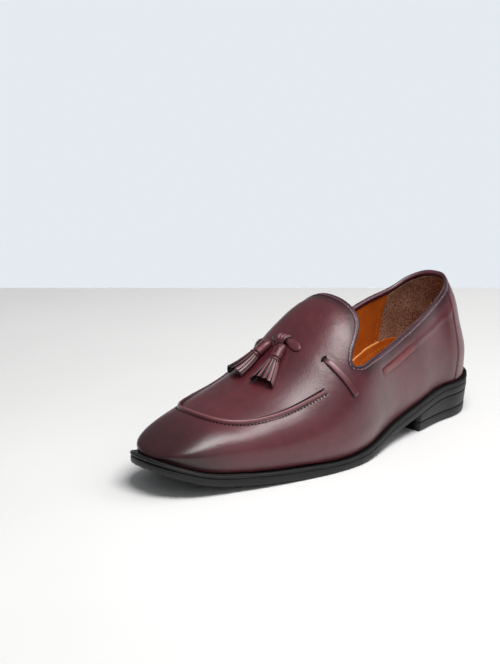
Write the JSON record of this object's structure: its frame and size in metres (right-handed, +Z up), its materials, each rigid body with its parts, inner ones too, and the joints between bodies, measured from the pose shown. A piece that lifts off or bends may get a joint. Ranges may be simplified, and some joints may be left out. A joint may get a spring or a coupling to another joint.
{
  "type": "tassel loafer, left shoe",
  "caption": "Left slip-on leather shoe with a raised apron seam, lace strips, a tied knot with two tassels, and a rubber sole with a stacked heel.",
  "frame": {"origin": "bottom centre of the shoe's box, on the plane that the heel and the ball of the sole stand on", "axes": "+Z up, +Y from the toe towards the heel, along the shoe; +X towards the wearer's left, which is the outer side of this left shoe"},
  "size_m": [0.1042, 0.2978, 0.1057],
  "materials": {
    "burgundy_leather": "smooth, soft gloss",
    "dark_leather": "burnished",
    "lace_leather": "smooth",
    "tan_leather": "matt",
    "black_rubber": "matt"
  },
  "bodies": {
    "root": {"upper": "burgundy_leather", "collar_binding": "dark_leather", "heel_counter": "burgundy_leather", "apron_seam": "burgundy_leather", "vamp_strip_left": "lace_leather", "vamp_strip_right": "lace_leather", "quarter_strip_left": "lace_leather", "quarter_strip_right": "lace_leather", "lace_knot": "lace_leather", "tassel_left": "lace_leather", "tassel_right": "lace_leather", "insole": "tan_leather", "outsole": "black_rubber", "heel_block": "black_rubber", "heel_lift": "black_rubber"}
  },
  "joints": []
}
